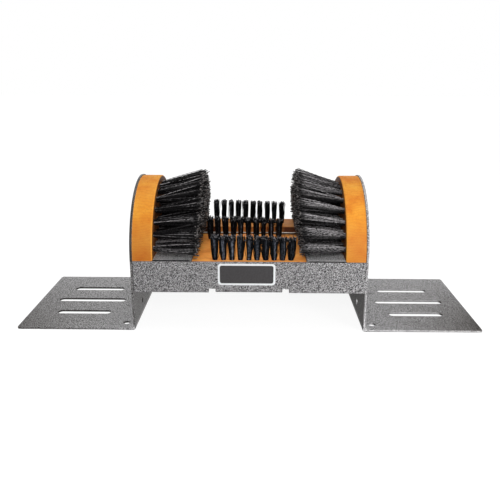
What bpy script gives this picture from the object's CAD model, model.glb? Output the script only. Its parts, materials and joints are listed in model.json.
# Boot scraper: a bent steel frame with two feet, half-round side brushes and a base brush between them.
# Metres, +Z up, front towards -Y. In every function, side is -1 for left and +1 for right, and end is -1
# for front and +1 for rear.

import json
import math

import bmesh
import bpy
import numpy as np
from mathutils import Matrix, Vector


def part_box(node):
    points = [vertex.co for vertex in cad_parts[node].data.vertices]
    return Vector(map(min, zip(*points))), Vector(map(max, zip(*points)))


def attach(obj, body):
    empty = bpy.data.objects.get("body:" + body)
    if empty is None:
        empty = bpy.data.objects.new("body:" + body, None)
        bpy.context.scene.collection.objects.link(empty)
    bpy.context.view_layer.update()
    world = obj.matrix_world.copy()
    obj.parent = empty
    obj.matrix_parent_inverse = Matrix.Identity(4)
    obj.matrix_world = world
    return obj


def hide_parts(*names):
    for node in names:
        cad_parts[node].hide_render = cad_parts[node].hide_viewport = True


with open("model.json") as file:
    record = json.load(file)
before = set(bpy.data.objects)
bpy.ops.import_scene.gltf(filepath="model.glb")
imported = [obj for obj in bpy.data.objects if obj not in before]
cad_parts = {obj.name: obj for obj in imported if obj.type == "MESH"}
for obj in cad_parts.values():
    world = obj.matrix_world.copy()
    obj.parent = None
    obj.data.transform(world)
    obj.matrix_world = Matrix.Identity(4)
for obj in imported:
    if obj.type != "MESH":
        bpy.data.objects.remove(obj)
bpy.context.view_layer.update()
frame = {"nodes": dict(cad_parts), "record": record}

MM = 0.001

# Sizes of the frame
bracket_low, bracket_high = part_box("right_side_bracket")
panel_low, panel_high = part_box("front_panel")
LEG_INNER = bracket_low.x
FOOT_END = bracket_high.x
HALF_DEPTH = bracket_high.y
DECK = panel_high.z
PANEL_BOTTOM = panel_low.z
SHEET = 2.4 * MM
HALF_WIDTH = LEG_INNER + SHEET
TRAY_HALF_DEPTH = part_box("base_tray")[1].y

# Feet
FOOT_BEND = 3.0 * MM
FOOT_BEND_OUTSIDE = 6.0 * MM
FOOT_CORNER = 3 * MM
SLOT_WIDTH = 9.5 * MM
SLOT_PITCH = 35 * MM
SLOT_LENGTHS = (60.5 * MM, 79 * MM, 60.5 * MM)
SLOT_CENTRE = 64.2 * MM
FOOT_HOLE = 3.7 * MM
FOOT_HOLE_OUT = 9.9 * MM
FOOT_HOLE_INSET = 13.9 * MM
LEG_HOLE = 3.2 * MM
LEG_HOLE_SPREAD = 32.2 * MM
LEG_HOLE_HEIGHT = 16 * MM

# Width of the band along a bracket's outline that holds neither slots nor holes
RIM = 8 * MM

# Panels and tray
TAB_HALF = 35.1 * MM
TAB_LENGTH = 22 * MM
TAB_BEND = 2.4 * MM
TAB_BEND_OUTSIDE = 6 * MM
NOTCH_WIDTH = 6.9 * MM
NOTCH_HEIGHT = 5.5 * MM
TRAY_BEND = 0.8 * MM
TRAY_FLANGE = 25 * MM
COAT_EDGE = 0.55 * MM
WELD_DROP = 1.5 * MM
WELD_STEP = 1.1 * MM
WELD_SINK = 0.3
WELD_GRAIN = 0.3 * MM

# Wood
FACING = 1.5 * MM
BLOCK_THICKNESS = 21.2 * MM
BLOCK_FACE = LEG_INNER - BLOCK_THICKNESS
BLOCK_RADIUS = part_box("left_brush_block")[1].z - DECK
BLOCK_EDGE = 1.8 * MM
BOARD_EDGE = 1.2 * MM
REBATE = 1.8 * MM
REBATE_DEPTH = 3 * MM

STRIP_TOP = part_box("scraper_strip")[1].z
STRIP_CUTS = 8 * MM

# Tufts
SIDE_RINGS = (14, 11, 7, 3)
RING_INSET = 9.2 * MM
INNERMOST_RING = 18 * MM
LOWEST_TUFT = 10.9 * MM
SIDE_SPLAY = 0.10
SIDE_RISE = 0.15
BRUSH_GAP_HALF = 47.8 * MM
CROWN_HEIGHT = 48 * MM
CROWN_RADIUS_UP = 95 * MM
CROWN_RADIUS_ACROSS = 360 * MM
CROWN_DEPTH = 6.2 * MM
SIDE_TUFT_ROOT = 2.9 * MM
SIDE_TUFT_TIP = 6.8 * MM
TUFTS_IN_ROW = 10
TUFT_PITCH = 8.83 * MM
TUFT_LENGTH = 25.5 * MM
REAR_TUFT_LENGTH = 26.8 * MM
TUFT_ROOT = 2.1 * MM
TUFT_TIPS = (4.1 * MM, 3.5 * MM, 2.9 * MM)
ROW_SLOPE = 0.085
FRONT_ROW_INSET = 4.5 * MM
MIDDLE_ROW = 22.5 * MM
REAR_ROW_INSET = 17.5 * MM
FRONT_ROW_SHIFT = 4.1 * MM
MIDDLE_ROW_SHIFT = -6.2 * MM
REAR_ROW_SHIFT = -1.5 * MM
HOLE_DEPTH = 9 * MM
HOLE_MARGIN = 0.4 * MM
TUFT_CLEARANCE = 3.4 * MM

# Filaments
SUNK = 5 * MM
STRAYS = 0.03
STRAY_REACH = 0.7
SWAY = 0.5 * MM
SIDE_FILAMENTS = 50
SIDE_FILAMENT = 0.42 * MM
SIDE_CRIMP = {"left": 0.18 * MM, "right": 0.32 * MM}
SIDE_DULLNESS = {"left": 2.8, "right": 0.35}
SIDE_SHADING = {"left": 0.2, "right": 0.55}
ROW_FILAMENTS = 110
ROW_FILAMENT = 0.31 * MM

# Screws and bolts
CLEARANCE = 0.3 * MM
SCREW_RADIUS = 2.1 * MM
SCREW_HEAD = 2.4 * MM
BOLT_RADIUS = 2.5 * MM
HEXAGON = 8 * MM

# Lengths of screw holes, in the base up from each screw's head and in a block out from its point
TAB_HOLE = 8 * MM
TRAY_HOLE = 14 * MM
BOARD_HOLE = 24 * MM
BLOCK_HOLE = 20 * MM

# Sides of the cylinders that arcs and holes start from, and angles that count as sharp and as smooth
ARC_SIDES = 192
STEEL_SIDES = 24
WOOD_SIDES = 20
SHARP = math.radians(40)
SMOOTH = math.radians(50)

SIDES = (("left", -1), ("right", 1))
HANDS = {side: hand for hand, side in SIDES}
ENDS = (("front", -1), ("rear", 1))


# Modelling

def deselect_all():
    bpy.ops.object.select_all(action="DESELECT")


def alone(obj):
    """Makes this the one selected and active object."""
    if bpy.context.mode != "OBJECT":
        bpy.ops.object.mode_set(mode="OBJECT")
    deselect_all()
    obj.select_set(True)
    bpy.context.view_layer.objects.active = obj
    return obj


def settle(name):
    """Names the new primitive and puts its place and size into its mesh."""
    obj = alone(bpy.context.object)
    bpy.ops.object.transform_apply(location=True, rotation=True, scale=True)
    obj.name = obj.data.name = name
    return obj


def add_object(name, data):
    obj = bpy.data.objects.new(name, data)
    bpy.context.scene.collection.objects.link(obj)
    return obj


def add_box(name, low, high):
    deselect_all()
    low, high = Vector(low), Vector(high)
    bpy.ops.mesh.primitive_cube_add(size=1, location=(low + high) / 2, scale=high - low)
    return settle(name)


def add_rod(name, start, direction, length, radius, sides=40):
    deselect_all()
    direction = Vector(direction).normalized()
    turn = direction.to_track_quat("Z", "Y").to_euler()
    middle = Vector(start) + direction * length / 2
    bpy.ops.mesh.primitive_cylinder_add(
        vertices=sides, radius=radius, depth=length, location=middle, rotation=turn)
    return settle(name)


def pick(obj, kind, test):
    """Selects, in edit mode, only the vertices, edges or faces that pass the test."""
    alone(obj)
    bpy.ops.object.mode_set(mode="EDIT")
    bpy.ops.mesh.select_mode(type=kind)
    bpy.ops.mesh.select_all(action="DESELECT")
    mesh = bmesh.from_edit_mesh(obj.data)
    mesh.normal_update()
    items = {"VERT": mesh.verts, "EDGE": mesh.edges, "FACE": mesh.faces}[kind]
    for item in items:
        item.select_set(test(item))
    mesh.select_flush_mode()
    bmesh.update_edit_mesh(obj.data)


def near(a, b, tolerance=0.02 * MM):
    return abs(a - b) < tolerance


def edge_at(**place):
    """A test for edges whose two ends both lie at the coordinates given."""
    axes = {"x": 0, "y": 1, "z": 2}
    return lambda e: all(near(v.co[axes[k]], value) for k, value in place.items() for v in e.verts)


def slice_at(obj, point, normal, keep_both=True):
    pick(obj, "FACE", lambda f: True)
    bpy.ops.mesh.bisect(plane_co=point, plane_no=normal, clear_inner=not keep_both, use_fill=not keep_both)
    alone(obj)


def round_edges(obj, test, radius, steps):
    pick(obj, "EDGE", test)
    bpy.ops.mesh.bevel(offset=radius, offset_type="OFFSET", segments=steps, profile=0.5, affect="EDGES")
    alone(obj)


def pull_out(obj, test, move):
    pick(obj, "FACE", test)
    bpy.ops.mesh.extrude_region_move(TRANSFORM_OT_translate={"value": move})
    alone(obj)


def apply_modifier(obj, kind, **values):
    alone(obj)
    modifier = obj.modifiers.new(kind.lower(), kind)
    for key, value in values.items():
        setattr(modifier, key, value)
    bpy.ops.object.modifier_apply(modifier=modifier.name)


def join(pieces, name):
    alone(pieces[0])
    for piece in pieces:
        piece.select_set(True)
    if len(pieces) > 1:
        bpy.ops.object.join()
    pieces[0].name = pieces[0].data.name = name
    return pieces[0]


def combine(obj, tools, operation="DIFFERENCE"):
    """Cuts the tools out of a piece, or keeps only what lies in them."""
    tool = join(tools, "tool")
    apply_modifier(obj, "BOOLEAN", operation=operation, solver="EXACT", object=tool)
    bpy.data.objects.remove(tool, do_unlink=True)
    return obj


def soften(obj, radius, steps=3):
    """Rounds every sharp edge and shades the piece smooth."""
    apply_modifier(obj, "BEVEL", width=radius, segments=steps, limit_method="ANGLE",
                   angle_limit=SHARP, use_clamp_overlap=False)
    alone(obj)
    bpy.ops.object.shade_smooth_by_angle(angle=SMOOTH)
    apply_modifier(obj, "WEIGHTED_NORMAL", keep_sharp=True, weight=50)
    return obj


def turned(name, profile, steps=32):
    """A closed solid of revolution round Z, spun from its outline of radius and height."""
    mesh = bpy.data.meshes.new(name)
    mesh.from_pydata([(r, 0, z) for r, z in profile], [(i, i + 1) for i in range(len(profile) - 1)], [])
    obj = add_object(name, mesh)
    pick(obj, "VERT", lambda v: True)
    bpy.ops.mesh.spin(steps=steps, angle=2 * math.pi, center=(0, 0, 0), axis=(0, 0, 1))
    bpy.ops.mesh.select_all(action="SELECT")
    bpy.ops.mesh.remove_doubles(threshold=0.002 * MM)
    bpy.ops.mesh.normals_make_consistent(inside=False)
    return alone(obj)


def placed(master, name, at, direction):
    """A copy of a piece that was modelled along +Z from the origin, turned and moved to its place."""
    obj = add_object(name, master.data.copy())
    obj.data.name = name
    turn = Vector((0, 0, 1)).rotation_difference(Vector(direction)).to_matrix().to_4x4()
    obj.data.transform(Matrix.Translation(at) @ turn)
    return obj


# Places

def node_end(node, axis, sign):
    """The middle of the face of a node's box that looks along that axis."""
    low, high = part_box(node)
    point = (low + high) / 2
    point[axis] = high[axis] if sign > 0 else low[axis]
    return point


def block_screws(side):
    return [f"{HANDS[side]}_block_screw_{i}" for i in range(1, 5)]


def tray_bolts(side):
    return [f"{HANDS[side]}_tray_bolt_{i}" for i in range(1, 3)]


def board_screws():
    return [f"base_screw_{i}" for i in range(1, 7)]


def side_holes(nodes, side, start, radius):
    """Clearance holes from there outwards, through the sheet and on the line of each screw or bolt."""
    holes = []
    for node in nodes:
        at = node_end(node, 0, -side)
        at.x = side * start
        holes.append(add_rod("hole", at, (side, 0, 0), 3 * SHEET, radius + CLEARANCE, STEEL_SIDES))
    return holes


def base_holes(length, front=-HALF_DEPTH, rear=HALF_DEPTH, sides=STEEL_SIDES):
    """Clearance holes, up from each base screw's head, for the screws between front and rear."""
    spots = [node_end(node, 2, -1) for node in board_screws()]
    return [add_rod("hole", at, (0, 0, 1), length, SCREW_RADIUS + CLEARANCE, sides)
            for at in spots if front < at.y < rear]


def side_tufts(side):
    """Root and tip of each tuft of a side brush, whose tips are trimmed to a shallow dome."""
    face = side * BLOCK_FACE
    board_low, board_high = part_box("rear_base_board")
    tufts = []
    outermost = BLOCK_RADIUS - RING_INSET
    for ring, count in enumerate(SIDE_RINGS):
        radius = outermost - ring * (outermost - INNERMOST_RING) / (len(SIDE_RINGS) - 1)
        first = math.asin(LOWEST_TUFT / radius)
        for i in range(count):
            angle = first + (math.pi - 2 * first) * i / (count - 1)
            y, rise = radius * math.cos(angle), radius * math.sin(angle)
            tip_y = y * (1 + SIDE_SPLAY)
            tip_rise = rise * (1 + SIDE_RISE)
            if board_low.y - TUFT_CLEARANCE < tip_y < board_high.y + TUFT_CLEARANCE:
                tip_rise = max(tip_rise, board_high.z + FACING - DECK + TUFT_CLEARANCE)
            curve = (tip_rise - CROWN_HEIGHT) ** 2 / (2 * CROWN_RADIUS_UP)
            curve += y ** 2 / (2 * CROWN_RADIUS_ACROSS)
            root = Vector((face, y, DECK + rise))
            tip = Vector((side * (BRUSH_GAP_HALF + min(curve, CROWN_DEPTH)), tip_y, DECK + tip_rise))
            tufts.append((root, tip))
    return tufts


def row_tufts(y, shift, top, length, lean):
    """Root and tip of each tuft of a row, worn a little shorter towards the right."""
    tufts = []
    for i in range(TUFTS_IN_ROW):
        x = shift + TUFT_PITCH * (i - (TUFTS_IN_ROW - 1) / 2)
        root = Vector((x, y, top))
        worn = length * (1 - ROW_SLOPE * i / (TUFTS_IN_ROW - 1))
        tufts.append((root, root + Vector((lean[i] * MM, 0, worn))))
    return tufts


# Steel

def side_bracket(name, side):
    outer = side * HALF_WIDTH
    piece = add_rod(name, (side * LEG_INNER, 0, DECK), (side, 0, 0), SHEET, HALF_DEPTH, ARC_SIDES)
    slice_at(piece, (0, 0, DECK), (0, 0, 1), keep_both=False)
    pull_out(piece, lambda f: f.normal.z < -0.9, (0, 0, -DECK))
    slice_at(piece, (0, 0, SHEET), (0, 0, 1))
    foot = lambda f: side * f.normal.x > 0.9 and f.calc_center_median().z < SHEET
    pull_out(piece, foot, (side * (FOOT_END - HALF_WIDTH), 0, 0))
    round_edges(piece, edge_at(x=outer, z=SHEET), FOOT_BEND, 8)
    round_edges(piece, edge_at(x=side * LEG_INNER, z=0), FOOT_BEND_OUTSIDE, 10)
    for y in (-HALF_DEPTH, HALF_DEPTH):
        round_edges(piece, edge_at(x=side * FOOT_END, y=y), FOOT_CORNER, 8)
    tools = []
    centre = outer + side * SLOT_CENTRE
    for i, length in enumerate(SLOT_LENGTHS):
        y = (i - 1) * SLOT_PITCH
        slot = add_rod("slot", (centre, y, -SHEET), (0, 0, 1), 3 * SHEET, SLOT_WIDTH / 2)
        for half in (-1, 1):
            pick(slot, "VERT", lambda v: half * (v.co.x - centre) > 0.01 * MM)
            bpy.ops.transform.translate(value=(half * (length - SLOT_WIDTH) / 2, 0, 0))
        tools.append(alone(slot))
    for end in (-1, 1):
        at = (outer + side * FOOT_HOLE_OUT, end * (HALF_DEPTH - FOOT_HOLE_INSET), -SHEET)
        tools.append(add_rod("hole", at, (0, 0, 1), 3 * SHEET, FOOT_HOLE))
        at = (side * (LEG_INNER - SHEET), end * LEG_HOLE_SPREAD, LEG_HOLE_HEIGHT)
        tools.append(add_rod("hole", at, (side, 0, 0), 3 * SHEET, LEG_HOLE))
    tools += side_holes(block_screws(side), side, LEG_INNER - SHEET, SCREW_RADIUS)
    tools += side_holes(tray_bolts(side), side, LEG_INNER - SHEET, BOLT_RADIUS)
    return soften(combine(piece, tools), COAT_EDGE)


def coat_of(face):
    """A bracket's coat: 1 in slots, in holes and on the left rim, 2 in the right leg's holes, else 0."""
    across, along, height = abs(face.center.x), abs(face.center.y), face.center.z
    on_left = face.center.x < 0
    if along < HALF_DEPTH - RIM and HALF_WIDTH + RIM / 2 < across < FOOT_END - RIM:
        return int(abs(face.normal.z) < 0.5)
    if along < HALF_DEPTH - RIM and across < HALF_WIDTH and RIM < height < DECK - RIM:
        return (1 if on_left else 2) * int(abs(face.normal.x) < 0.5)
    return int(on_left and height > DECK + MM and abs(face.normal.x) < 0.8)


def panel(name, end):
    outer = end * HALF_DEPTH
    inner = end * (HALF_DEPTH - SHEET)
    faces = sorted((outer, inner))
    piece = add_box(name, (-LEG_INNER, faces[0], PANEL_BOTTOM), (LEG_INNER, faces[1], DECK))
    notches = []
    for side in (-1, 1):
        across = sorted((side * TAB_HALF, side * (TAB_HALF + NOTCH_WIDTH)))
        low = (across[0], faces[0] - SHEET, PANEL_BOTTOM - SHEET)
        notches.append(add_box("notch", low, (across[1], faces[1] + SHEET, PANEL_BOTTOM + NOTCH_HEIGHT)))
    combine(piece, notches)
    slice_at(piece, (0, 0, PANEL_BOTTOM + SHEET), (0, 0, 1))

    def tab_root(f):
        centre = f.calc_center_median()
        return end * f.normal.y < -0.9 and abs(centre.x) < TAB_HALF and centre.z < PANEL_BOTTOM + SHEET

    pull_out(piece, tab_root, (0, -end * (TAB_LENGTH - SHEET), 0))
    in_tab = lambda e: all(abs(v.co.x) < TAB_HALF + 0.1 * MM for v in e.verts)
    inside, outside = edge_at(y=inner, z=PANEL_BOTTOM + SHEET), edge_at(y=outer, z=PANEL_BOTTOM)
    round_edges(piece, lambda e: inside(e) and in_tab(e), TAB_BEND, 6)
    round_edges(piece, lambda e: outside(e) and in_tab(e), TAB_BEND_OUTSIDE, 10)
    return soften(combine(piece, base_holes(TAB_HOLE)), COAT_EDGE)


def base_tray(name):
    edge = LEG_INNER - SHEET / 2
    top = DECK - SHEET / 2
    floor = PANEL_BOTTOM + 1.5 * SHEET
    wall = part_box("front_base_board")[1].x + CLEARANCE + SHEET / 2
    flange_bottom = DECK - TRAY_FLANGE
    half = [(edge, flange_bottom), (edge, top), (wall, top), (wall, floor)]
    path = [(-x, z) for x, z in half] + half[::-1]
    deselect_all()
    bpy.ops.mesh.primitive_plane_add(
        size=1, location=(-edge, 0, (flange_bottom + top) / 2), rotation=(0, math.pi / 2, 0))
    bpy.context.object.scale = (top - flange_bottom, 2 * TRAY_HALF_DEPTH, 1)
    piece = settle(name)
    pick(piece, "EDGE", edge_at(z=top))
    for (x0, z0), (x1, z1) in zip(path[1:], path[2:]):
        bpy.ops.mesh.extrude_region_move(TRANSFORM_OT_translate={"value": (x1 - x0, 0, z1 - z0)})
    alone(piece)
    bends = lambda e: len(e.link_faces) == 2 and near(e.verts[0].co.x, e.verts[1].co.x)
    round_edges(piece, bends, TRAY_BEND + SHEET / 2, 5)
    apply_modifier(piece, "SOLIDIFY", thickness=SHEET, offset=0, use_even_offset=True)
    tools = base_holes(TRAY_HOLE)
    for side in (-1, 1):
        tools += side_holes(tray_bolts(side), side, LEG_INNER - 2 * SHEET, BOLT_RADIUS)
    return soften(combine(piece, tools), COAT_EDGE)


def weld_bead(name, node):
    """A row of overlapping drops, melted into one skin."""
    low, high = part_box(node)
    middle = (low + high) / 2
    corner = Vector((math.copysign(LEG_INNER, middle.x), math.copysign(HALF_DEPTH - SHEET, middle.y), 0))
    inward = Vector((middle.x - corner.x, middle.y - corner.y, 0)) * WELD_SINK
    drops = []
    count = int((high.z - low.z) / WELD_STEP)
    for i in range(count):
        z = low.z + WELD_DROP + (high.z - low.z - 2 * WELD_DROP) * i / (count - 1)
        at = Vector((corner.x, corner.y, z)) + inward
        deselect_all()
        bpy.ops.mesh.primitive_uv_sphere_add(segments=12, ring_count=8, radius=WELD_DROP, location=at)
        drops.append(settle("drop"))
    piece = join(drops, name)
    apply_modifier(piece, "REMESH", mode="VOXEL", voxel_size=WELD_GRAIN)
    slice_at(piece, corner, (-math.copysign(1, corner.x), 0, 0), keep_both=False)
    slice_at(piece, corner, (0, -math.copysign(1, corner.y), 0), keep_both=False)
    alone(piece)
    bpy.ops.object.shade_smooth_by_angle(angle=math.radians(60))
    return piece


# Wood

def brush_block(name, side):
    at = (side * LEG_INNER, 0, DECK)
    piece = add_rod(name, at, (-side, 0, 0), BLOCK_THICKNESS, BLOCK_RADIUS, ARC_SIDES)
    slice_at(piece, (0, 0, DECK), (0, 0, 1), keep_both=False)
    rim = lambda e: abs(e.calc_face_angle(0)) > 1
    inner_rim = lambda e: rim(e) and all(near(v.co.x, side * BLOCK_FACE) for v in e.verts)
    round_edges(piece, inner_rim, BLOCK_EDGE, 5)
    tools = []
    for root, _ in side_tufts(side):
        start = root - Vector((side * MM, 0, 0))
        radius = SIDE_TUFT_ROOT + HOLE_MARGIN
        tools.append(add_rod("hole", start, (side, 0, 0), HOLE_DEPTH + MM, radius, WOOD_SIDES))
    for node in block_screws(side):
        start = node_end(node, 0, -side) - Vector((side * CLEARANCE, 0, 0))
        radius = SCREW_RADIUS + CLEARANCE
        tools.append(add_rod("hole", start, (side, 0, 0), BLOCK_HOLE, radius, WOOD_SIDES))
    return soften(combine(piece, tools), 0.4 * MM)


def fit_tray_bends(piece, low, high):
    """Takes off the two lower edges that would touch the tray's bends."""
    bottoms = lambda e: all(near(v.co.z, low.z) and near(abs(v.co.x), high.x) for v in e.verts)
    round_edges(piece, bottoms, TRAY_BEND, 1)


def base_board(name, node, top, tufts, rebate):
    low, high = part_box(node)
    piece = add_box(name, low, (high.x, high.y, top))
    tops = lambda e: all(near(v.co.z, top) for v in e.verts)
    round_edges(piece, tops, BOARD_EDGE, 5)
    fit_tray_bends(piece, low, high)
    tools = []
    if rebate:
        corner = (-high.x - MM, high.y - rebate, top - REBATE_DEPTH)
        tools.append(add_box("rebate", corner, (high.x + MM, high.y + MM, top + MM)))
    for root, _ in tufts:
        start = root - Vector((0, 0, HOLE_DEPTH))
        radius = TUFT_ROOT + HOLE_MARGIN
        tools.append(add_rod("hole", start, (0, 0, 1), HOLE_DEPTH + MM, radius, WOOD_SIDES))
    tools += base_holes(BOARD_HOLE, low.y, high.y, WOOD_SIDES)
    return soften(combine(piece, tools), 0.35 * MM)


def scraper_strip(name):
    low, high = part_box("scraper_strip")
    piece = add_box(name, low, high)
    fit_tray_bends(piece, low, high)
    for x in np.arange(low.x, high.x, STRIP_CUTS)[1:]:
        slice_at(piece, (x, 0, 0), (1, 0, 0))
    return soften(piece, 0.45 * MM)


# Bristles

def tuft_paths(rng, root, tip, points, count, spread, flare, scatter, ragged, crimp):
    """The paths of one tuft's filaments, from its root to scattered tips, and how much light each gets.

    The spread is the tuft's radius at its root and at its tip, and the crimp a wave's height and length.
    """
    steps = np.linspace(0, 1, points)[None, :, None]
    length = np.linalg.norm(tip - root)
    main = int(np.argmax(np.abs(tip - root)))
    plane = [axis for axis in range(3) if axis != main]
    distance, angle = np.sqrt(rng.random(count)), rng.random(count) * 2 * np.pi
    disc = np.stack([distance * np.cos(angle), distance * np.sin(angle)], 1)
    start = np.tile(root - (tip - root) / length * SUNK, (count, 1))
    start[:, plane] += disc * spread[0]
    stray = 1 + STRAY_REACH * (rng.random((count, 1)) > 1 - STRAYS)
    end = np.tile(tip, (count, 1))
    end[:, plane] += (disc * stray + rng.normal(size=(count, 2)) * scatter) * spread[1]
    end = start + (end - start) * (1 + ragged * rng.normal(size=(count, 1)).clip(-2.5, 1.5))
    below = SUNK / (length + SUNK)
    opened = ((steps - below).clip(0, 1) / (1 - below)) ** flare
    path = start[:, None] + (end - start)[:, None] * steps
    path[:, :, plane] = start[:, None, plane] + (end - start)[:, None, plane] * opened
    path[:, :, plane] += rng.normal(size=(count, 1, 2)) * SWAY * np.sin(np.pi * steps)
    turn, phase = rng.random((2, count, 1)) * 2 * np.pi
    wave = np.sin(2 * np.pi * steps[:, :, 0] * length / crimp[1] + phase) * crimp[0]
    path[:, :, plane[0]] += wave * np.cos(turn)
    path[:, :, plane[1]] += wave * np.sin(turn)
    lit = 1 - disc[:, 0] ** 2 if main == 2 else (1 + disc[:, 1]) / 2
    return path, lit


def filament_mesh(name, paths, shades, radius, rng):
    """A closed three-sided skin round each path, with each filament's shade and the height along it."""
    fibres, points = paths.shape[:2]
    along = np.gradient(paths, axis=1)
    along /= np.linalg.norm(along, axis=2, keepdims=True)
    across = np.cross(along, (0, 1, 0))
    across /= np.linalg.norm(across, axis=2, keepdims=True)
    other = np.cross(along, across)
    corners = 2 * np.pi * np.arange(3) / 3 + rng.random((fibres, 1)) * 2 * np.pi
    ring = np.cos(corners)[:, None, :, None] * across[:, :, None]
    ring = ring + np.sin(corners)[:, None, :, None] * other[:, :, None]
    vertices = (paths[:, :, None] + ring * radius).reshape(-1, 3)
    first = (np.arange(fibres)[:, None] * points + np.arange(points - 1)) * 3
    faces = []
    for k in range(3):
        n = (k + 1) % 3
        faces += np.stack([first + k, first + k + 3, first + n + 3, first + n], 2).reshape(-1, 4).tolist()
    root_corner = np.arange(fibres) * points * 3
    tip_corner = root_corner + (points - 1) * 3
    faces += np.stack([root_corner, root_corner + 1, root_corner + 2], 1).tolist()
    faces += np.stack([tip_corner + 2, tip_corner + 1, tip_corner], 1).tolist()
    mesh = bpy.data.meshes.new(name)
    mesh.from_pydata(vertices, [], faces)
    height = np.tile(np.repeat(np.linspace(0, 1, points), 3), fibres)
    for key, values in (("shade", np.repeat(shades, points * 3)), ("height", height)):
        mesh.attributes.new(key, "FLOAT", "POINT").data.foreach_set("value", values)
    obj = alone(add_object(name, mesh))
    bpy.ops.object.shade_smooth()
    return obj


def bristles(name, tufts, seed, radius, dullness, shading, **habit):
    """Thin filaments in tufts: the duller and the more shaded they are, the fewer strands are light."""
    rng = np.random.default_rng(seed)
    paths = []
    shades = []
    for root, tip in tufts:
        path, lit = tuft_paths(rng, np.array(root), np.array(tip), **habit)
        paths.append(path)
        shades.append(rng.random(len(path)) ** dullness * lit ** shading)
    return filament_mesh(name, np.concatenate(paths), np.concatenate(shades), radius, rng)


# Fasteners

def thread(name, radius, depth, pitch, start, length):
    """A fine ridge that winds up a shank."""
    mesh = bpy.data.meshes.new(name)
    half = pitch * 0.42
    mesh.from_pydata([(radius, 0, start - half), (radius + depth, 0, start), (radius, 0, start + half)],
                     [(0, 1), (1, 2), (2, 0)], [])
    obj = add_object(name, mesh)
    turns = int(length / pitch)
    apply_modifier(obj, "SCREW", angle=2 * math.pi * turns, screw_offset=pitch * turns, steps=14 * turns,
                   render_steps=14 * turns, axis="Z")
    pick(obj, "EDGE", lambda e: len(e.link_faces) == 1)
    bpy.ops.mesh.edge_face_add()
    bpy.ops.mesh.select_all(action="SELECT")
    bpy.ops.mesh.normals_make_consistent(inside=False)
    return alone(obj)


def wood_screw(length):
    """A pan-head wood screw that points up, with its head's seat at the origin."""
    head = 4.2 * MM
    point = 5 * MM
    dome = [(head * math.cos(a), -SCREW_HEAD * 0.45 - SCREW_HEAD * 0.55 * math.sin(a))
            for a in np.linspace(0, math.pi / 2, 7)][::-1]
    dome[0] = (0, -SCREW_HEAD)
    core = SCREW_RADIUS * 0.72
    piece = turned("screw", dome + [(head, 0), (core, 0), (core, length - point), (0, length)], 36)
    reach, half_width, floor = 2.3 * MM, 0.45 * MM, -0.9 * MM
    for turn in (0, math.pi / 2):
        arm = add_box("arm", (-reach, -half_width, -SCREW_HEAD - MM), (reach, half_width, floor))
        arm.data.transform(Matrix.Rotation(turn, 4, "Z"))
        combine(piece, [arm])
    soften(piece, 0.12 * MM, 2)
    ridge = thread("ridge", core, SCREW_RADIUS - core, 1.8 * MM, 2.2 * MM, length - point - 3 * MM)
    return join([piece, ridge], "screw")


def hexagon(across, low, high):
    """A hexagon with chamfered corners."""
    piece = add_rod("hexagon", (0, 0, low), (0, 0, 1), high - low, across / math.sqrt(3), 6)
    corner = across / math.sqrt(3) * 1.02
    chamfer = 0.7 * MM
    lathe = turned("lathe", [(0, low), (corner - chamfer * 1.7, low), (corner, low + chamfer),
                             (corner, high - 0.2 * MM), (corner - 0.3 * MM, high), (0, high)], 48)
    return combine(piece, [lathe], "INTERSECT")


def tray_bolt():
    """A hexagon-head bolt that points up, with its head's seat at the origin."""
    low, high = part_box("left_tray_bolt_1")
    head = 3.5 * MM
    length = high.x - low.x - head
    piece = soften(hexagon(HEXAGON, -head, 0), 0.15 * MM, 2)
    core = BOLT_RADIUS * 0.86
    shank = turned("shank", [(0, 0), (core, 0), (core, length - 0.8 * MM), (core * 0.8, length), (0, length)])
    ridge = thread("ridge", core, BOLT_RADIUS - core, 0.8 * MM, 1.5 * MM, length - 2.6 * MM)
    return join([piece, soften(shank, 0.1 * MM, 1), ridge], "bolt")


def tray_nut():
    """A hexagon nut on +Z, with its seat at the origin."""
    low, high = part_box("left_tray_nut_1")
    piece = hexagon(HEXAGON, 0, high.x - low.x)
    bore = add_rod("bore", (0, 0, -MM), (0, 0, 1), 8 * MM, BOLT_RADIUS + CLEARANCE, 28)
    return soften(combine(piece, [bore]), 0.15 * MM, 2)


# Label

def label_plate(name):
    """A blank label: a white rounded film with a printed charcoal field."""
    low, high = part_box("label_plate")
    border = 2.1 * MM
    print_thickness = 0.03 * MM
    corners = lambda e: not near(e.verts[0].co.y, e.verts[1].co.y, 0.001 * MM)
    film = add_box("film", low, high)
    round_edges(film, corners, 3.4 * MM, 8)
    field_low = (low.x + border, low.y - print_thickness, low.z + border)
    field = add_box("field", field_low, (high.x - border, low.y, high.z - border))
    round_edges(field, corners, 2.2 * MM, 8)
    piece = join([film, field], name)
    return piece, [f.index for f in piece.data.polygons if f.center.y < low.y - print_thickness / 4]


# Materials

# Colours that the finishes share, linear
DUSTY_GREY = (0.13, 0.12, 0.12, 1)
RUBBED_GREY = (0.42, 0.41, 0.42, 1)
BRIGHT_GREY = (0.80, 0.79, 0.80, 1)
PALE_GREY = (0.95, 0.94, 0.95, 1)
SHOE_DIRT = (0.05, 0.044, 0.038, 1)
SEAM_BLACK = (0.008, 0.007, 0.008, 1)
BOARD_DIRT = (0.03, 0.012, 0.006, 1)
HOLE_BROWN = (0.05, 0.014, 0.007, 1)
MILL_SCALE = (0.05, 0.03, 0.02, 1)

PEBBLE = 0.80 * MM
LEG_GRIME = 0.7457
GRIME_PER_METRE = 0.289
FOOT_DULLING = 0.82
LEFT_FOOT_LESS = 0.16
DECK_START = 60 * MM
LIP_INSET = 6.3 * MM
SEAM_INSET = 2.7 * MM
LEFT_SEAM_SHIFT = 0.8 * MM
CORNER_INSET = 0.3 * MM


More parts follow.
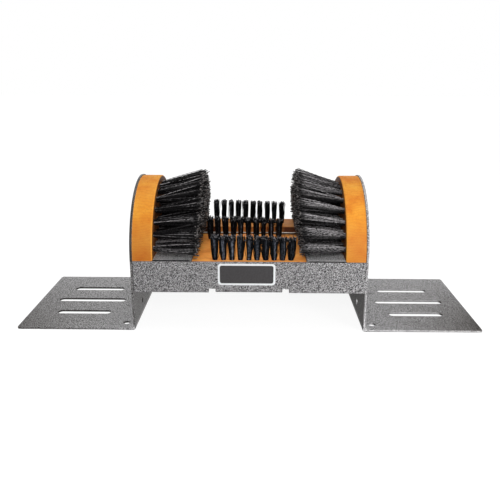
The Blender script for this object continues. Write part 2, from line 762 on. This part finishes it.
def add_node(tree, kind, values=None, **settings):
    """A new node with its settings, and with a link or a constant on each socket named."""
    node = tree.nodes.new(kind)
    for key, value in settings.items():
        setattr(node, key, value)
    for key, value in (values or {}).items():
        if isinstance(value, bpy.types.NodeSocket):
            tree.links.new(value, node.inputs[key])
        else:
            node.inputs[key].default_value = value
    return node


def ramp(tree, value, low, high):
    """The value stretched so that low becomes 0 and high becomes 1, and held there beyond them."""
    values = {"Value": value, "From Min": low, "From Max": high}
    return add_node(tree, "ShaderNodeMapRange", values).outputs["Result"]


def mix_colours(tree, factor, a, b):
    return add_node(tree, "ShaderNodeMix", {0: factor, 6: a, 7: b}, data_type="RGBA").outputs[2]


def maths(tree, operation, *values):
    return add_node(tree, "ShaderNodeMath", dict(enumerate(values)), operation=operation).outputs[0]


def product(tree, first, *others):
    for other in others:
        first = maths(tree, "MULTIPLY", first, other)
    return first


def band(tree, value, centre, reach, core):
    """1 where the value is as near to the centre as the core, and 0 beyond the reach."""
    away = maths(tree, "ABSOLUTE", maths(tree, "SUBTRACT", value, centre))
    return ramp(tree, away, reach, core)


def split(tree, vector):
    """The X, Y and Z of a vector."""
    return add_node(tree, "ShaderNodeSeparateXYZ", {0: vector}).outputs


def mapped(tree, place, **values):
    return add_node(tree, "ShaderNodeMapping", {"Vector": place, **values}).outputs["Vector"]


def noise(tree, place, scale, detail, roughness=0.5):
    values = {"Vector": place, "Scale": scale, "Detail": detail, "Roughness": roughness}
    return add_node(tree, "ShaderNodeTexNoise", values).outputs["Fac"]


def layered(tree, tone, *coats):
    """A colour under further coats, each laid where its mask is 1, as thickly as its strength."""
    for mask, strength, colour in coats:
        tone = mix_colours(tree, product(tree, mask, strength), tone, colour)
    return tone


def new_group(name, inputs, outputs):
    """A node group: an input without a value is a vector, and all others and the outputs are numbers."""
    group = bpy.data.node_groups.new(name, "ShaderNodeTree")
    for socket, value in inputs.items():
        kind = "NodeSocketVector" if value is None else "NodeSocketFloat"
        made = group.interface.new_socket(socket, in_out="INPUT", socket_type=kind)
        if value is not None:
            made.default_value = value
    for socket in outputs:
        group.interface.new_socket(socket, in_out="OUTPUT", socket_type="NodeSocketFloat")
    return group, group.nodes.new("NodeGroupInput").outputs, group.nodes.new("NodeGroupOutput").inputs


def use_group(tree, group, **values):
    return add_node(tree, "ShaderNodeGroup", values, node_tree=group).outputs


def build_hammered_group():
    """Fine pebbles of paint with darker veins between them."""
    group, given, out = new_group("hammered_paint", {"Vector": None, "Pebble": PEBBLE}, ["Speckle"])
    scale = maths(group, "DIVIDE", 1.0, given["Pebble"])
    place = {"Vector": given["Vector"], "Scale": scale}
    clouds = add_node(
        group, "ShaderNodeTexNoise", {**place, "Detail": 2.0, "Roughness": 0.6, "Distortion": 0.6})
    cells = add_node(group, "ShaderNodeTexVoronoi", {**place, "Smoothness": 0.3}, feature="SMOOTH_F1")
    pebbles = product(group, ramp(group, cells.outputs["Distance"], 0.75, 0.15), 0.45)
    patches = product(group, ramp(group, clouds.outputs["Fac"], 0.3, 0.7), 0.55)
    group.links.new(maths(group, "ADD", pebbles, patches), out["Speckle"])
    return group


def build_grain_group():
    """Growth layers stacked along Z and long fibres along Y."""
    group, given, out = new_group("wood_grain", {"Vector": None}, ["Layers", "Fibres", "Patches"])
    place = given["Vector"]
    bands = {"Vector": place, "Scale": 120.0, "Distortion": 14.0, "Detail": 4.0, "Detail Scale": 0.35}
    layers = add_node(group, "ShaderNodeTexWave", bands, bands_direction="Z")
    group.links.new(layers.outputs["Fac"], out["Layers"])
    long_fibres = mapped(group, place, Scale=(900, 60, 900))
    group.links.new(noise(group, long_fibres, 1.0, 3.0, 0.6), out["Fibres"])
    group.links.new(noise(group, place, 55.0, 3.0, 0.55), out["Patches"])
    return group


def build_edge_group():
    """1 along the rounded edges of a piece and 0 on its faces."""
    group, given, out = new_group("worn_edges", {"Radius": MM}, ["Edge"])
    bevel = add_node(group, "ShaderNodeBevel", {"Radius": given["Radius"]}, samples=6)
    surface = add_node(group, "ShaderNodeNewGeometry")
    normals = {0: bevel.outputs["Normal"], 1: surface.outputs["True Normal"]}
    dot = add_node(group, "ShaderNodeVectorMath", normals, operation="DOT_PRODUCT")
    group.links.new(ramp(group, dot.outputs["Value"], 0.99, 0.86), out["Edge"])
    return group


HAMMERED = build_hammered_group()
GRAIN = build_grain_group()
EDGES = build_edge_group()


def new_material(name, **constants):
    """A material whose shader has these constants, with its node tree and the place on its object."""
    material = bpy.data.materials.new(name)
    material.use_nodes = True
    tree = material.node_tree
    shader = tree.nodes["Principled BSDF"]
    for key, value in constants.items():
        shader.inputs[key.replace("_", " ")].default_value = value
    return material, tree, add_node(tree, "ShaderNodeTexCoord").outputs["Object"]


def finish(material, tone, roughness, relief, depth):
    """Gives the material its colour, its roughness and a relief of this depth."""
    tree = material.node_tree
    shader = tree.nodes["Principled BSDF"]
    tree.links.new(tone, shader.inputs["Base Color"])
    tree.links.new(roughness, shader.inputs["Roughness"])
    bump = add_node(tree, "ShaderNodeBump", {"Height": relief, "Distance": depth, "Strength": 1.0})
    tree.links.new(bump.outputs["Normal"], shader.inputs["Normal"])
    return material


def seam_masks(tree, across, along, height, left, right):
    """The unpainted seams between the deck, the panels and the left bracket, and the deck's rubbed lip."""
    deck = product(tree, ramp(tree, across, LEG_INNER, LEG_INNER - 0.2 * MM),
                   ramp(tree, across, DECK_START, DECK_START + 2 * MM),
                   ramp(tree, height, DECK - 1.2 * MM, DECK - 0.6 * MM))
    lip = product(tree, band(tree, along, HALF_DEPTH - LIP_INSET, 1.8 * MM, 1.4 * MM), deck, right)
    centre = maths(tree, "SUBTRACT", HALF_DEPTH - SEAM_INSET, product(tree, left, LEFT_SEAM_SHIFT))
    seam = product(tree, deck, band(tree, along, centre, 2.3 * MM, 1.8 * MM))
    corner = product(tree, band(tree, across, LEG_INNER - CORNER_INSET, 0.8 * MM, 0.5 * MM),
                     ramp(tree, along, HALF_DEPTH - 2 * MM, HALF_DEPTH - MM),
                     ramp(tree, height, PANEL_BOTTOM, PANEL_BOTTOM + MM), left, 0.5)
    return maths(tree, "MAXIMUM", seam, corner), lip


def hammertone_steel(name, dark, light, rubbed):
    """Grey pebbled powder coat, rubbed on its edges and dulled on the legs' insides and the feet's ends.

    A leg's front edge is dulled on the left and bright on the right, and both feet's bends are bright.
    """
    material, tree, place = new_material(name)
    speckle = use_group(tree, HAMMERED, Vector=place, Pebble=PEBBLE)["Speckle"]
    edge = use_group(tree, EDGES, Radius=0.8 * MM)["Edge"]
    x, y, z = split(tree, place)
    facing = split(tree, place.node.outputs["Normal"])
    across, along = maths(tree, "ABSOLUTE", x), maths(tree, "ABSOLUTE", y)
    left = maths(tree, "LESS_THAN", x, 0)
    right = maths(tree, "SUBTRACT", 1, left)

    outward = product(tree, facing["X"], maths(tree, "SIGN", x))
    inside = product(tree, ramp(tree, outward, -0.7, -1.0),
                     maths(tree, "ADD", product(tree, x, GRIME_PER_METRE), LEG_GRIME))
    foot = product(tree, ramp(tree, across, HALF_WIDTH, FOOT_END),
                   maths(tree, "SUBTRACT", FOOT_DULLING, product(tree, left, LEFT_FOOT_LESS)),
                   ramp(tree, y, 110 * MM, -60 * MM))
    front = product(tree, ramp(tree, facing["Y"], -0.6, -0.9),
                    ramp(tree, across, LEG_INNER, LEG_INNER + 0.4 * MM))
    left_edge = product(tree, front, ramp(tree, z, 3 * MM, 6 * MM), left, 0.5)
    dulled = maths(tree, "ADD", maths(tree, "ADD", foot, inside), left_edge)
    bend = product(tree, ramp(tree, z, 7 * MM, 3 * MM),
                   ramp(tree, across, HALF_WIDTH + 5 * MM, HALF_WIDTH + MM))
    below_panel = ramp(tree, z, PANEL_BOTTOM + 2 * MM, PANEL_BOTTOM - 22 * MM)
    right_edge = product(tree, front, right, below_panel)
    bright = product(tree, maths(tree, "MAXIMUM", bend, right_edge), speckle)
    seams, lip = seam_masks(tree, across, along, z, left, right)

    tone = mix_colours(tree, ramp(tree, speckle, 0.39, 0.63), dark, light)
    tone = layered(
        tree, tone, (noise(tree, place, 18.0, 2.0), 0.12, DUSTY_GREY), (edge, rubbed, RUBBED_GREY),
        (dulled, 1.0, SHOE_DIRT), (bright, 0.7, BRIGHT_GREY), (lip, 0.5, PALE_GREY), (seams, 1.0, SEAM_BLACK))
    shine = ramp(tree, maths(tree, "MAXIMUM", dulled, seams), 0.8, 0.0)
    shader = tree.nodes["Principled BSDF"]
    tree.links.new(product(tree, shine, 0.3), shader.inputs["Specular IOR Level"])
    return finish(material, tone, ramp(tree, speckle, -0.6, 2.6), speckle, 0.10 * MM)


def painted_wood(name, turn, light, dark, deep, worn, stained, smudged, scraped, dimmed, grubby=1):
    """Thin orange paint over wood whose layers and fibres are turned with the piece.

    The front face is stained, less so in its middle where it is scraped. The ends are dimmed, and what
    lies behind the grubby line, in metres along Y, is dirty, further forward at its right end.
    """
    material, tree, place = new_material(name, Specular_IOR_Level=0.16)
    grain = use_group(tree, GRAIN, Vector=mapped(tree, place, Rotation=turn))
    layers, fibres, patches = grain["Layers"], grain["Fibres"], grain["Patches"]
    edge = use_group(tree, EDGES, Radius=1.6 * MM)["Edge"]
    spot = split(tree, place)
    facing = split(tree, place.node.outputs["Normal"])

    ends = ramp(tree, maths(tree, "ABSOLUTE", spot["X"]), 36 * MM, 42 * MM)
    stain = product(tree, ramp(tree, facing["Y"], -0.8, -1.0), ramp(tree, ends, -1 / scraped, 1.0))
    forward = product(tree, ramp(tree, spot["X"], 22 * MM, 44 * MM), 13 * MM,
                      ramp(tree, patches, 0.30, 0.62))
    back = maths(tree, "ADD", spot["Y"], forward)
    dirt = product(tree, ramp(tree, back, grubby, grubby + 6 * MM), ramp(tree, fibres, 0.0, 0.55))
    drilled = ramp(tree, maths(tree, "ABSOLUTE", facing["X"]), 0.85, 1.0)

    tone = mix_colours(tree, ramp(tree, patches, 0.3, 0.7), light, dark)
    tone = layered(
        tree, tone, (ramp(tree, layers, 0.45, 1.0), 0.13, deep), (ramp(tree, fibres, 0.56, 0.72), 0.4, deep),
        (edge, 0.75, worn), (ramp(tree, patches, 0.55, 0.75), smudged, deep), (stain, stained, deep),
        (ends, dimmed, deep), (dirt, 0.92, BOARD_DIRT), (drilled, 0.9, HOLE_BROWN))
    relief = maths(tree, "SUBTRACT", layers, product(tree, fibres, 1.5))
    return finish(material, tone, ramp(tree, fibres, -0.9, 1.5), relief, 0.05 * MM)


def strip_steel():
    """Dark mill scale, scraped bright along the top edge."""
    material, tree, place = new_material("strip_steel", Metallic=0.2)
    streaks = noise(tree, mapped(tree, place, Scale=(40, 900, 900)), 1.0, 4.0, 0.7)
    scraped = mix_colours(tree, ramp(tree, streaks, 0.35, 0.7),
                          (0.90, 0.86, 0.80, 1), (0.62, 0.55, 0.47, 1))
    worn = ramp(tree, split(tree, place)["Z"], STRIP_TOP - 0.7 * MM, STRIP_TOP - 0.2 * MM)
    tone = mix_colours(tree, worn, MILL_SCALE, scraped)
    return finish(material, tone, ramp(tree, streaks, -0.6, 1.4), streaks, 0.03 * MM)


def zinc_plate():
    material, tree, place = new_material("zinc_plate", Metallic=0.95)
    grey = noise(tree, place, 700.0, 3.0, 0.6)
    tone = mix_colours(tree, ramp(tree, grey, 0.35, 0.7), (0.62, 0.63, 0.65, 1), (0.40, 0.40, 0.41, 1))
    return finish(material, tone, ramp(tree, grey, -0.3, 1.7), grey, 0.02 * MM)


def filament(name, dark, light, cut_end, shine):
    """Black synthetic filament: each strand has its own shade, and its tip is scuffed paler."""
    material, tree, place = new_material(name, Specular_IOR_Level=shine)
    shade = add_node(tree, "ShaderNodeAttribute", attribute_name="shade").outputs["Fac"]
    height = add_node(tree, "ShaderNodeAttribute", attribute_name="height").outputs["Fac"]
    flecks = noise(tree, place, 480.0, 2.0)
    fade = ramp(tree, ramp(tree, height, 0.94, 0.84), -0.15, 1.0)
    glint = product(tree, ramp(tree, shade, 0.42, 0.92), fade, ramp(tree, flecks, 0.30, 0.58))
    cut = product(tree, ramp(tree, height, 0.955, 0.975), ramp(tree, flecks, 0.50, 0.58))
    tone = mix_colours(tree, cut, mix_colours(tree, glint, dark, light), cut_end)
    return finish(material, tone, ramp(tree, flecks, -0.3, 2.2), flecks, 0.04 * MM)


def label_film(name, light, dark, gloss):
    material, tree, place = new_material(name, Specular_IOR_Level=0.2)
    print_grain = noise(tree, place, 900.0, 2.0)
    tone = mix_colours(tree, ramp(tree, print_grain, 0.35, 0.65), light, dark)
    return finish(material, tone, ramp(tree, print_grain, gloss - 2, gloss + 2), print_grain, 0.01 * MM)


def paint(obj, *materials):
    obj.data.materials.clear()
    for material in materials:
        obj.data.materials.append(material)


STEEL = hammertone_steel("hammertone_steel", (0.014, 0.013, 0.014, 1), (0.49, 0.482, 0.49, 1), 0.25)
BRACKET_STEEL = hammertone_steel("hammertone_bracket", (0.04, 0.039, 0.04, 1), (0.68, 0.67, 0.68, 1), 0.25)
DECK_STEEL = hammertone_steel("hammertone_deck", (0.30, 0.298, 0.30, 1), PALE_GREY, 0.25)
CUT_STEEL = hammertone_steel("thinly_coated_cuts", (0.004, 0.004, 0.004, 1), (0.075, 0.07, 0.068, 1), 0)
BLOCK_WOOD = painted_wood(
    "painted_block_wood", (0, 0, 0), light=(0.72, 0.325, 0.034, 1), dark=(0.61, 0.19, 0.012, 1),
    deep=(0.34, 0.08, 0.015, 1), worn=(0.92, 0.58, 0.26, 1),
    stained=0.5, smudged=0.16, scraped=0.01, dimmed=0)
BOARD_WOOD = painted_wood(
    "painted_board_wood", (0, 0, math.pi / 2), light=(0.97, 0.41, 0.085, 1), dark=(0.92, 0.31, 0.055, 1),
    deep=(0.30, 0.08, 0.02, 1), worn=(0.94, 0.54, 0.33, 1),
    stained=0.9, smudged=0.25, scraped=0.01, dimmed=0, grubby=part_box("front_base_board")[1].y - 5.5 * MM)
REAR_WOOD = painted_wood(
    "painted_rear_board_wood", (0, 0, math.pi / 2), light=(0.76, 0.33, 0.09, 1), dark=(0.64, 0.24, 0.06, 1),
    deep=(0.06, 0.014, 0.004, 1), worn=(0.66, 0.33, 0.16, 1),
    stained=0.95, smudged=0.5, scraped=6.0, dimmed=0.40)
STRIP = strip_steel()
ZINC = zinc_plate()
BRISTLE = filament("black_filament", (0.004, 0.0036, 0.004, 1), (0.46, 0.44, 0.45, 1),
                   (0.19, 0.178, 0.174, 1), 0.10)
BASE_BRISTLE = filament("black_base_filament", (0.003, 0.0035, 0.0045, 1), (0.19, 0.21, 0.26, 1),
                        (0.24, 0.23, 0.24, 1), 0.06)
LABEL_WHITE = label_film("label_white", (0.73, 0.745, 0.755, 1), (0.67, 0.685, 0.695, 1), 0.4)
LABEL_CHARCOAL = label_film("label_charcoal", (0.046, 0.043, 0.045, 1), (0.036, 0.034, 0.035, 1), 0.45)

SLOT_MATERIAL = {
    "hammertone_steel": STEEL, "painted_wood": BLOCK_WOOD, "strip_steel": STRIP, "bristle": BRISTLE,
    "zinc_fastener": ZINC, "label_film": LABEL_CHARCOAL}


# Dressing

def dress(obj, node, *materials):
    """Gives a piece its finish, ties it to the frame and lets it stand for its node."""
    paint(obj, *materials)
    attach(obj, "root")
    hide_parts(node)


NODE_SLOT = {part["node"]: part["material_slot"] for part in frame["record"]["subparts"]}
for node, obj in frame["nodes"].items():
    paint(obj, SLOT_MATERIAL[NODE_SLOT[node]])

short_screw = wood_screw(length=18 * MM)
long_screw = wood_screw(length=22 * MM)
bolt_master = tray_bolt()
nut_master = tray_nut()

for hand, side in SIDES:
    bracket = side_bracket(f"{hand}_bracket_coated", side)
    dress(bracket, f"{hand}_side_bracket", BRACKET_STEEL, CUT_STEEL, DECK_STEEL)
    for face in bracket.data.polygons:
        face.material_index = coat_of(face)
    dress(brush_block(f"{hand}_block_painted", side), f"{hand}_brush_block", BLOCK_WOOD)
    tufts = side_tufts(side)
    outer, second = SIDE_RINGS[0], SIDE_RINGS[0] + SIDE_RINGS[1]
    parts = (("outer", tufts[:outer], 11), ("middle", tufts[outer:second], 23), ("inner", tufts[second:], 37))
    for part, chosen, seed in parts:
        brush = bristles(
            f"{hand}_{part}_filaments", chosen, seed=seed + side, radius=SIDE_FILAMENT,
            dullness=SIDE_DULLNESS[hand], shading=SIDE_SHADING[hand], points=40, count=SIDE_FILAMENTS,
            spread=(SIDE_TUFT_ROOT, SIDE_TUFT_TIP), flare=1, scatter=0.22, ragged=0.026,
            crimp=(SIDE_CRIMP[hand], 4.8 * MM))
        dress(brush, f"{hand}_side_bristles", BRISTLE)
    for node in block_screws(side):
        at = node_end(node, 0, side) + Vector((-side * SCREW_HEAD, 0, 0))
        dress(placed(short_screw, f"{node}_pan_head", at, (-side, 0, 0)), node, ZINC)
    for node in tray_bolts(side):
        at = node_end(node, 0, side)
        at.x = side * HALF_WIDTH
        dress(placed(bolt_master, f"{node}_hexagon", at, (-side, 0, 0)), node, ZINC)
        nut = node.replace("bolt", "nut")
        dress(placed(nut_master, f"{nut}_hexagon", node_end(nut, 0, side), (-side, 0, 0)), nut, ZINC)

for where, end in ENDS:
    dress(panel(f"{where}_panel_coated", end), f"{where}_panel", STEEL)
    for hand, side in SIDES:
        node = f"{where}_{hand}_weld"
        dress(weld_bead(f"{node}_bead", node), node, STEEL)

dress(base_tray("base_tray_coated"), "base_tray", DECK_STEEL)

front_low, front_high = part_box("front_base_board")
rear_low, rear_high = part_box("rear_base_board")
REAR_TOP = rear_high.z + FACING
rng = np.random.default_rng(5)
front_row = (front_low.y + FRONT_ROW_INSET, FRONT_ROW_SHIFT, DECK, TUFT_LENGTH)
middle_row = (front_high.y - MIDDLE_ROW, MIDDLE_ROW_SHIFT, DECK, TUFT_LENGTH)
rear_row = (rear_low.y + REAR_ROW_INSET, REAR_ROW_SHIFT, REAR_TOP, REAR_TUFT_LENGTH)
front_tufts = row_tufts(*front_row, rng.normal(size=TUFTS_IN_ROW) * 0.4)
middle_tufts = row_tufts(*middle_row, rng.normal(size=TUFTS_IN_ROW) * 0.4)
rear_tufts = row_tufts(*rear_row, rng.normal(size=TUFTS_IN_ROW) * 0.3)
front_board = base_board(
    "front_board_painted", "front_base_board", DECK, front_tufts + middle_tufts, rebate=REBATE)
dress(front_board, "front_base_board", BOARD_WOOD)
rear_board = base_board("rear_board_painted", "rear_base_board", REAR_TOP, rear_tufts, rebate=0)
dress(rear_board, "rear_base_board", REAR_WOOD)
dress(scraper_strip("scraper_strip_rolled"), "scraper_strip", STRIP)
rows = (("front", front_tufts, "front_base_bristles", TUFT_TIPS[0], 0.6, 0.5, 41),
        ("middle", middle_tufts, "front_base_bristles", TUFT_TIPS[1], 0.9, 2.5, 42),
        ("rear", rear_tufts, "rear_base_bristles", TUFT_TIPS[2], 0.9, 2.5, 43))
for row, tufts, node, tip_radius, flare, dullness, seed in rows:
    brush = bristles(
        f"{row}_row_filaments", tufts, seed=seed, radius=ROW_FILAMENT, dullness=dullness, shading=4.0,
        points=12, count=ROW_FILAMENTS, spread=(TUFT_ROOT, tip_radius), flare=flare,
        scatter=0.14, ragged=0.05, crimp=(0.1 * MM, 9 * MM))
    dress(brush, node, BASE_BRISTLE)
for node in board_screws():
    at = node_end(node, 2, -1) + Vector((0, 0, SCREW_HEAD))
    dress(placed(long_screw, f"{node}_pan_head", at, (0, 0, 1)), node, ZINC)

label, field = label_plate("label_blank")
dress(label, "label_plate", LABEL_WHITE, LABEL_CHARCOAL)
for index in field:
    label.data.polygons[index].material_index = 1

for master in (short_screw, long_screw, bolt_master, nut_master):
    bpy.data.objects.remove(master, do_unlink=True)


# Camera, fitted to the straight edges of the photograph

CAMERA_AT = Vector((8.81, -647.5, 279.6)) * MM
CAMERA_YAW = math.radians(0.78)
CAMERA_PITCH = math.radians(16.286)
CAMERA_ROLL = math.radians(-0.123)
LENS = 42.156
SHIFT_Y = -0.0402


def add_camera():
    forward = Vector((0, math.cos(CAMERA_PITCH), -math.sin(CAMERA_PITCH)))
    right = Vector((1, 0, 0))
    yaw = Matrix.Rotation(CAMERA_YAW, 3, "Z")
    forward, right = yaw @ forward, yaw @ right
    up = right.cross(forward)
    roll = Matrix.Rotation(CAMERA_ROLL, 3, forward)
    right, up = roll @ right, roll @ up
    camera = add_object("camera", bpy.data.cameras.new("camera"))
    camera.data.lens = LENS
    camera.data.shift_y = SHIFT_Y
    camera.data.clip_start = 0.01
    turn = Matrix((right, up, -forward)).transposed().to_4x4()
    camera.matrix_world = Matrix.Translation(CAMERA_AT) @ turn
    bpy.context.scene.camera = camera


# Studio

WORLD_LIGHT = 0.33
FLOOR_GREY = (0.2, 0.2, 0.2, 1)
FLOOR_GLOW = 0.88
WHITE = (1, 1, 1, 1)


def add_lamp(name, at, aim, size, power):
    lamp = bpy.data.lights.new(name, "AREA")
    lamp.shape = "DISK"
    lamp.size = size
    lamp.energy = power
    turn = (Vector(aim) - Vector(at)).to_track_quat("-Z", "Y").to_matrix().to_4x4()
    add_object(name, lamp).matrix_world = Matrix.Translation(at) @ turn


def white_to_the_camera(tree, plain, glow):
    """A shader that the camera, gloss and glass see with a white glow, and other rays see plain."""
    rays = add_node(tree, "ShaderNodeLightPath").outputs
    seen = maths(tree, "MAXIMUM", rays["Is Camera Ray"], rays["Is Glossy Ray"])
    seen = maths(tree, "MAXIMUM", seen, rays["Is Transmission Ray"])
    return add_node(tree, "ShaderNodeMixShader", {0: seen, 1: plain, 2: glow}).outputs[0]


def add_studio():
    world = bpy.data.worlds.new("studio")
    bpy.context.scene.world = world
    world.use_nodes = True
    tree = world.node_tree
    soft = add_node(tree, "ShaderNodeBackground", {"Color": WHITE, "Strength": WORLD_LIGHT})
    white = add_node(tree, "ShaderNodeBackground", {"Color": WHITE, "Strength": 1.0})
    shader = white_to_the_camera(tree, soft.outputs[0], white.outputs[0])
    tree.links.new(shader, tree.nodes["World Output"].inputs["Surface"])

    deselect_all()
    bpy.ops.mesh.primitive_plane_add(size=8, location=(0, 0, -0.05 * MM))
    floor = settle("floor")
    material = bpy.data.materials.new("white_floor")
    material.use_nodes = True
    tree = material.node_tree
    surface = tree.nodes["Principled BSDF"]
    surface.inputs["Base Color"].default_value = FLOOR_GREY
    surface.inputs["Roughness"].default_value = 0.9
    glow = add_node(tree, "ShaderNodeEmission", {"Color": WHITE, "Strength": FLOOR_GLOW})
    both = add_node(tree, "ShaderNodeAddShader", {0: surface.outputs[0], 1: glow.outputs[0]})
    shader = white_to_the_camera(tree, surface.outputs[0], both.outputs[0])
    tree.links.new(shader, tree.nodes["Material Output"].inputs["Surface"])
    paint(floor, material)

    aim = (0, 0, 0.06)
    add_lamp("front", (0.00, -0.74, 0.40), aim, size=0.30, power=3.15)
    add_lamp("top", (-0.02, 0.10, 1.00), aim, size=0.70, power=4.4)
    add_lamp("side", (0.42, -0.42, 0.06), aim, size=0.16, power=1.9)


add_camera()
add_studio()

scene = bpy.context.scene
scene.view_settings.view_transform = "Standard"
bpy.context.view_layer.update()
